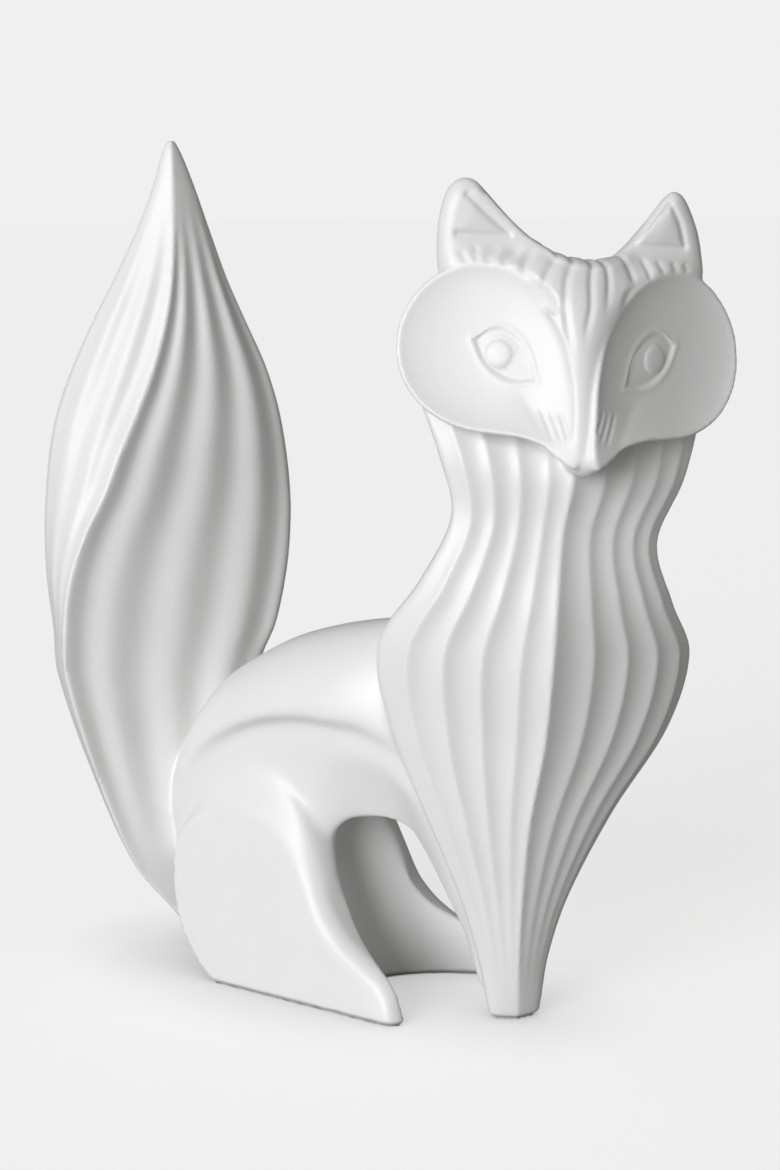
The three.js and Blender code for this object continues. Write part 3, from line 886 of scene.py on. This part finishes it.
# %% Lines in the ears
EAR_LINES = [
    [(-36.2, 45), (-30, 39.6), (-23.4, 34.2)], [(-23.2, 33.4), (-31, 33.0), (-38.6, 33.2)],
    [(29.2, 45.4), (22.4, 38.8), (16, 32.6)], [(15.6, 32.0), (24, 32.2), (34.6, 32.2)],
    [(29.4, 45.4), (32.8, 39.6), (35, 32.6)],
]
EAR_PILLOWS = [
    [(-36.2, 45.8), (-22.8, 33.6), (-39.8, 33.2)], [(29.2, 46.0), (15.2, 32.2), (35.2, 32.4)],
]
EAR_LINE_WIDTH = 1.1
EAR_LINE_DEPTH = 0.75
PILLOW_RISE = 0.35
CORNER_SHARPNESS = 1.1


def inside_triangle(x, z, corners):
    """Distance in from the nearest side, negative outside, with rounded corners."""
    corners = np.array(corners, float)
    middle = corners.mean(axis=0)
    total = 0
    for k in range(3):
        start, end = corners[k], corners[(k + 1) % 3]
        along = (end - start) / np.linalg.norm(end - start)
        across = np.array([-along[1], along[0]])
        if (middle - start) @ across < 0:
            across = -across
        inward = (x - start[0]) * across[0] + (z - start[1]) * across[1]
        total = total + np.exp(-CORNER_SHARPNESS * inward)
    return -np.log(total) / CORNER_SHARPNESS


points = points_of(fox)
head_mm = in_mm_of(points, place_head)
near = np.where((head_mm[:, 2] > 29) & (head_mm[:, 1] < 6) & (normals_of(fox)[:, 1] < -0.3))[0]
flat = head_mm[near][:, [0, 2]]
sink = np.zeros(len(near))
for line in EAR_LINES:
    gap, passed = away_from_line(flat, smooth_line(line, 20))
    sink = np.maximum(sink, EAR_LINE_DEPTH * np.exp(-((gap / EAR_LINE_WIDTH) ** 2)))
for corners in EAR_PILLOWS:
    sink = sink - PILLOW_RISE * ramp(inside_triangle(flat[:, 0], flat[:, 1], corners), -0.4, 4.5)
sink = sink * ramp(-normals_of(fox)[near, 1], 0.35, 0.75)
points[near, 1] += sink * MM
move_points(fox, points)
print("ears drawn", round(float(sink.max()), 2), round(float(sink.min()), 2), "mm")

# %% [markdown]
# The eyes are low relief on the dishes: a lid line stands up round an almond, the eyeball lies a
# little deeper, and the pupil is a small round button. The eye is drawn once and read for both
# dishes, where it sits and stretches a little differently. Three fine whisker lines run down
# beside the nose, drawn for each side.

# %% Eyes and whisker lines
EYE_MIDDLE = (22.9, -3.5)
EYE_APART = 1.7
EYE_SLANT = math.radians(29.5)
EYE_ENDS = (-11.2, 11.4)
UPPER_LID = [(-11.2, 0), (-7, 3.9), (-2, 6.8), (4.2, 7.8), (9.2, 5.4), (11.4, 0)]
LOWER_LID = [(-11.2, 0), (-6, -3.8), (0, -4.9), (6, -3.5), (10, -1.1), (11.4, 0)]
LID_RISE = 0.2
EYE_STRETCH = 1.13
EYE_DEPTH = 0.5
BALL_RISE = 0.6
BALL_UP = 1.5
BALL_HALF = (10, 5.6)
PUPIL = (2.6, 0.5, 4.3)
PUPIL_RISE = 0.6
WHISKERS_LEFT = [
    [(12.6, -16.6), (9.4, -22.5), (6.4, -28.6)], [(9.6, -17), (6.9, -22.5), (4, -28.4)],
    [(6.5, -17.4), (4.2, -22.6), (2, -27.6)],
]
WHISKERS_RIGHT = [
    [(4.4, -17), (1, -23), (-3, -29)], [(1.4, -16.8), (-1.6, -22.4), (-5.2, -28)],
    [(-1.4, -16.6), (-3.8, -21), (-6.4, -25)],
]
WHISKER_WIDTH = 0.85
WHISKER_DEPTH = 0.38


def eye_relief(x, z, side):
    """Height of the eye over the dish, in mm."""
    x = x - EYE_MIDDLE[0] + EYE_APART * side
    z = z - EYE_MIDDLE[1]
    along = x * math.cos(EYE_SLANT) + z * math.sin(EYE_SLANT)
    along = along / (EYE_STRETCH if side > 0 else 1)
    up = z * math.cos(EYE_SLANT) - x * math.sin(EYE_SLANT)
    upper = column_of(UPPER_LID, 1, along)
    lower = column_of(LOWER_LID, 1, along)
    inside = np.minimum(upper - up, up - lower)
    past = np.maximum(EYE_ENDS[0] - along, along - EYE_ENDS[1])
    inside = np.where(past > 0, -np.hypot(past, up), inside)
    lid = LID_RISE * np.exp(-(((inside + 1.1) / 1.0) ** 2))
    away = (along / BALL_HALF[0]) ** 2, ((up - BALL_UP) / BALL_HALF[1]) ** 2
    ball = BALL_RISE * np.clip(1 - away[0] - away[1], 0, 1)
    pupil = np.hypot(along - PUPIL[0], up - PUPIL[1]) / PUPIL[2]
    button = PUPIL_RISE * np.sqrt(np.clip(1 - pupil ** 3, 0, 1))
    pressed = EYE_DEPTH * ramp(inside, -0.8, 1.2) * (1 - 0.5 * ramp(up, 1, 6))
    return lid - pressed + (ball + button) * ramp(inside, -0.2, 0.6)


def carve_dish(side):
    matrix = place_head @ (place_dish if side > 0 else mirror_side @ place_dish)
    points = points_of(fox)
    dish_mm = in_mm_of(points, matrix)
    toward = normals_of(fox) @ np.array(matrix.to_3x3())[:, 2]
    near = np.where((np.abs(dish_mm[:, 2] + 1.5) < 3.5) & (toward > 0.5)
                    & (dish_mm[:, 0] > -8) & (dish_mm[:, 0] < 60))[0]
    x, z = dish_mm[near, 0], dish_mm[near, 1]
    height = eye_relief(x, z, side)
    for line in WHISKERS_RIGHT if side > 0 else WHISKERS_LEFT:
        height = height - carve_line(dish_mm[near][:, :2], line, WHISKER_WIDTH, WHISKER_DEPTH)
    dish_mm[near, 2] += height
    points[near] = turned(dish_mm[near], matrix) * MM
    move_points(fox, points)
    return float(height.min()), float(height.max())


for side in (1, -1):
    print("dish relief", [round(height, 2) for height in carve_dish(side)], "mm")

# %% [markdown]
# The skin is finer than it needs to be on the plain parts. Decimate thins it there.

# %% Thin the skin and smooth its shading
MOST_TRIANGLES = 196000
triangles = 2 * len(fox.data.polygons)
thin = fox.modifiers.new("thin", "DECIMATE")
thin.ratio = min(1, MOST_TRIANGLES / triangles)
choose(fox)
bpy.ops.object.modifier_apply(modifier=thin.name)
bpy.ops.object.shade_smooth()
bpy.ops.object.mode_set(mode="OBJECT")
move_points(fox, points_of(fox) + np.array([FOOT_X, FOOT_Y, 0]) * MM)
print("final skin", len(fox.data.polygons), "faces")

# %% [markdown]
# The finish is a white satin glaze. It is bright and a little soft in its shine. It is never
# quite even: it clouds slightly, it lies thinner and whiter on edges and thicker and duller in
# grooves, and its skin has a very fine grain with a pinhole here and there. One node group holds
# all that, and gives a colour, a roughness and a height.

# %% A node group for the glaze
def node(tree, kind, **sockets):
    """A new node: each named socket gets a value, or reads the output of another node."""
    made = tree.nodes.new(kind)
    for name, value in sockets.items():
        socket = made.inputs[name.replace("_", " ")]
        if isinstance(value, bpy.types.NodeSocket):
            tree.links.new(value, socket)
        else:
            socket.default_value = value
    return made


def grey(value):
    return (value, value, value, 1)


def map_range(tree, value, start, end, low, high):
    """The value carried from one range to another."""
    made = node(tree, "ShaderNodeMapRange", Value=value, From_Min=start, From_Max=end,
                To_Min=low, To_Max=high)
    return made.outputs[0]


def arithmetic(tree, kind, first, second):
    """A Math node: each operand is a number or another node's output."""
    made = tree.nodes.new("ShaderNodeMath")
    made.operation = kind
    for place, value in enumerate((first, second)):
        if isinstance(value, (int, float)):
            made.inputs[place].default_value = value
        else:
            tree.links.new(value, made.inputs[place])
    return made.outputs[0]


def colour_mix(tree, factor, first, second):
    made = tree.nodes.new("ShaderNodeMix")
    made.data_type = "RGBA"
    tree.links.new(factor, made.inputs[0])
    tree.links.new(first, made.inputs[6])
    tree.links.new(second, made.inputs[7])
    return made.outputs[2]


CLOUD_SHARE = 0.45
HOLLOW_SHARE = 0.55
PINHOLE_SHARE = 0.8
GRAIN_DULLS = 0.1
THICK_DULLS = 0.08

uneven = bpy.data.node_groups.new("uneven_glaze", "ShaderNodeTree")
for name, kind in [("Thin", "Color"), ("Thick", "Color"), ("Cloud Size", "Float"),
                   ("Grain Size", "Float"), ("Pinhole Size", "Float"), ("Shine", "Float")]:
    uneven.interface.new_socket(name, in_out="INPUT", socket_type="NodeSocket" + kind)
for name, kind in [("Colour", "Color"), ("Roughness", "Float"), ("Height", "Float")]:
    uneven.interface.new_socket(name, in_out="OUTPUT", socket_type="NodeSocket" + kind)
given = uneven.nodes.new("NodeGroupInput")
result = uneven.nodes.new("NodeGroupOutput")
place = uneven.nodes.new("ShaderNodeTexCoord")
clouds = node(uneven, "ShaderNodeTexNoise", Detail=3.0, Roughness=0.55)
grain = node(uneven, "ShaderNodeTexNoise", Detail=2.0, Roughness=0.6)
holes = node(uneven, "ShaderNodeTexVoronoi", Randomness=1.0)
bend = uneven.nodes.new("ShaderNodeNewGeometry")
for texture, size in [(clouds, "Cloud Size"), (grain, "Grain Size"), (holes, "Pinhole Size")]:
    uneven.links.new(place.outputs["Object"], texture.inputs["Vector"])
    uneven.links.new(given.outputs[size], texture.inputs["Scale"])

cloudy = map_range(uneven, clouds.outputs[0], 0.35, 0.65, 0.0, 1.0)
hollow = map_range(uneven, bend.outputs["Pointiness"], 0.46, 0.52, 1.0, 0.0)
cloud_part = arithmetic(uneven, "MULTIPLY", cloudy, CLOUD_SHARE)
hollow_part = arithmetic(uneven, "MULTIPLY", hollow, HOLLOW_SHARE)
thickness = arithmetic(uneven, "ADD", cloud_part, hollow_part)

split = node(uneven, "ShaderNodeSeparateColor", Color=holes.outputs["Color"])
picked = map_range(uneven, split.outputs[0], 0.86, 0.88, 0.0, 1.0)
dot = map_range(uneven, holes.outputs["Distance"], 0.05, 0.13, 1.0, 0.0)
pinhole = arithmetic(uneven, "MULTIPLY", picked, dot)

pinhole_part = arithmetic(uneven, "MULTIPLY", pinhole, PINHOLE_SHARE)
shown = arithmetic(uneven, "ADD", thickness, pinhole_part)
uneven.links.new(colour_mix(uneven, shown, given.outputs["Thin"], given.outputs["Thick"]),
                 result.inputs["Colour"])
fine = arithmetic(uneven, "MULTIPLY", grain.outputs[0], GRAIN_DULLS)
thick = arithmetic(uneven, "MULTIPLY", thickness, THICK_DULLS)
dull = arithmetic(uneven, "ADD", thick, fine)
roughness = arithmetic(uneven, "ADD", given.outputs["Shine"], dull)
uneven.links.new(roughness, result.inputs["Roughness"])
uneven.links.new(arithmetic(uneven, "SUBTRACT", grain.outputs[0], pinhole), result.inputs["Height"])
print("glaze group", len(uneven.nodes), "nodes")

# %% [markdown]
# The material places the group with this object's own sizes. At the very bottom a narrow band
# is made darker and duller than the glaze above it.
# The band is a mask by height, with an uneven upper edge.

# %% Glaze
GLAZE_THIN = (0.84, 0.84, 0.837, 1)
GLAZE_THICK = (0.795, 0.795, 0.788, 1)
# A narrow band at the very bottom is made darker and duller.
BOTTOM_BAND_COLOUR = (0.60, 0.585, 0.56, 1)
BAND_FULL_BELOW = 1.1 * MM
BAND_GONE_ABOVE = 1.9 * MM
RAGGED_BY = 1.0 * MM
BAND_ROUGHER = 0.35

glaze = bpy.data.materials.new("satin_white_glaze")
glaze.use_nodes = True
tree = glaze.node_tree
shader = tree.nodes["Principled BSDF"]
shader.inputs["IOR"].default_value = 1.5
shader.inputs["Coat Weight"].default_value = 0.15
shader.inputs["Coat Roughness"].default_value = 0.28
coat = tree.nodes.new("ShaderNodeGroup")
coat.node_tree = uneven
for name, value in [("Thin", GLAZE_THIN), ("Thick", GLAZE_THICK), ("Cloud Size", 38),
                    ("Grain Size", 1500), ("Pinhole Size", 170), ("Shine", 0.34)]:
    coat.inputs[name].default_value = value
where = tree.nodes.new("ShaderNodeTexCoord")
height = node(tree, "ShaderNodeSeparateXYZ", Vector=where.outputs["Object"])
ragged = node(tree, "ShaderNodeTexNoise", Scale=220, Detail=2, Vector=where.outputs["Object"])
# The colour of the darker band at the very bottom.
band_colour = node(tree, "ShaderNodeRGB")
band_colour.outputs[0].default_value = BOTTOM_BAND_COLOUR
uneven_by = arithmetic(tree, "SUBTRACT", ragged.outputs[0], 0.5)
edge = arithmetic(tree, "MULTIPLY", uneven_by, RAGGED_BY)
ragged_height = arithmetic(tree, "ADD", height.outputs[2], edge)
bottom_band = map_range(tree, ragged_height, BAND_FULL_BELOW, BAND_GONE_ABOVE, 1.0, 0.0)
tree.links.new(colour_mix(tree, bottom_band, coat.outputs["Colour"], band_colour.outputs[0]),
               shader.inputs["Base Color"])
rough = arithmetic(tree, "MULTIPLY", bottom_band, BAND_ROUGHER)
roughness = arithmetic(tree, "ADD", coat.outputs["Roughness"], rough)
tree.links.new(roughness, shader.inputs["Roughness"])
bump = node(tree, "ShaderNodeBump", Strength=0.35, Distance=0.0001,
            Height=coat.outputs["Height"])
tree.links.new(bump.outputs[0], shader.inputs["Normal"])
fox.data.materials.clear()
fox.data.materials.append(glaze)
print("glaze", glaze.name, len(tree.nodes), "nodes")

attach(fox, "root")
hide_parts("fox_figurine")

# %% [markdown]
# The light is one large soft source to the left of the camera, in a bright white room, and a
# second, much weaker one further round.

# %% Light and room
SUN_TURN = 34
SUN_HEIGHT = 14
SUN_STRENGTH = 2.72
SUN_SOFTNESS = 40
SIDE_TURN = 115
SIDE_HEIGHT = 25
SIDE_STRENGTH = 0.06
SIDE_SOFTNESS = 110
ROOM_STRENGTH = 0.215
BACKGROUND = 0.871
LIGHT_COLOUR = (0.985, 0.993, 1.0)
ROOM_COLOUR = (1.0, 0.985, 0.962, 1)


def soft_light(name, turn, height, strength, softness):
    """A far soft light, turned to the left of the camera and raised, in degrees."""
    bpy.ops.object.light_add(
        type="SUN",
        rotation=(math.radians(90 - height), 0, math.radians(CAMERA_TURN - turn)))
    light = bpy.context.object
    light.name = name
    light.data.energy = strength
    light.data.color = LIGHT_COLOUR
    light.data.angle = math.radians(softness)


def lit_and_seen(tree, lit, seen, output):
    """One shader for what lights the scene and another for what the camera sees."""
    rays = node(tree, "ShaderNodeLightPath")
    pick = node(tree, "ShaderNodeMixShader")
    out = node(tree, output)
    for place, source in enumerate((rays.outputs["Is Camera Ray"], lit, seen)):
        tree.links.new(source, pick.inputs[place])
    tree.links.new(pick.outputs[0], out.inputs["Surface"])


soft_light("window_light", SUN_TURN, SUN_HEIGHT, SUN_STRENGTH, SUN_SOFTNESS)
soft_light("side_light", SIDE_TURN, SIDE_HEIGHT, SIDE_STRENGTH, SIDE_SOFTNESS)

room = bpy.data.worlds.new("white_room")
bpy.context.scene.world = room
room.use_nodes = True
tree = room.node_tree
tree.nodes.clear()
lit = node(tree, "ShaderNodeBackground", Color=ROOM_COLOUR, Strength=ROOM_STRENGTH)
seen = node(tree, "ShaderNodeBackground", Color=grey(1), Strength=BACKGROUND)
lit_and_seen(tree, lit.outputs[0], seen.outputs[0], "ShaderNodeOutputWorld")
bpy.context.scene.view_settings.view_transform = "Standard"
print("sun", SUN_STRENGTH, "room", ROOM_STRENGTH)

# %% [markdown]
# The table is white paper that runs out of sight, so bright that only a faint shadow shows.
# Most of its brightness is its own and only the rest is lit, which keeps the shadow faint.
# It darkens close under the figurine. What it throws back on the figurine is plain grey light,
# which is weaker close under it too.

# %% Table
TABLE_LIT = 0.36
TABLE_GLOW = 0.7
TABLE_GLOW_UNDER = 0.25
TABLE_BOUNCE = 0.47
TABLE_BOUNCE_UNDER = 0.14

deselect()
bpy.ops.mesh.primitive_plane_add(size=12)
table = bpy.context.object
table.name = "table"
paper = bpy.data.materials.new("pale_table")
paper.use_nodes = True
tree = paper.node_tree
tree.nodes.clear()
near = node(tree, "ShaderNodeAmbientOcclusion", Distance=0.04)
tint = map_range(tree, near.outputs["AO"], 0.0, 1.0, TABLE_GLOW_UNDER, TABLE_GLOW)
thrown = map_range(tree, near.outputs["AO"], 0.0, 1.0, TABLE_BOUNCE_UNDER, TABLE_BOUNCE)
glow = node(tree, "ShaderNodeEmission", Color=grey(1), Strength=tint)
matte = node(tree, "ShaderNodeBsdfDiffuse", Color=grey(TABLE_LIT))
bounce = node(tree, "ShaderNodeBsdfDiffuse", Color=thrown)
shown = node(tree, "ShaderNodeAddShader")
tree.links.new(glow.outputs[0], shown.inputs[0])
tree.links.new(matte.outputs[0], shown.inputs[1])
lit_and_seen(tree, bounce.outputs[0], shown.outputs[0], "ShaderNodeOutputMaterial")
table.data.materials.append(paper)
print("table ready")
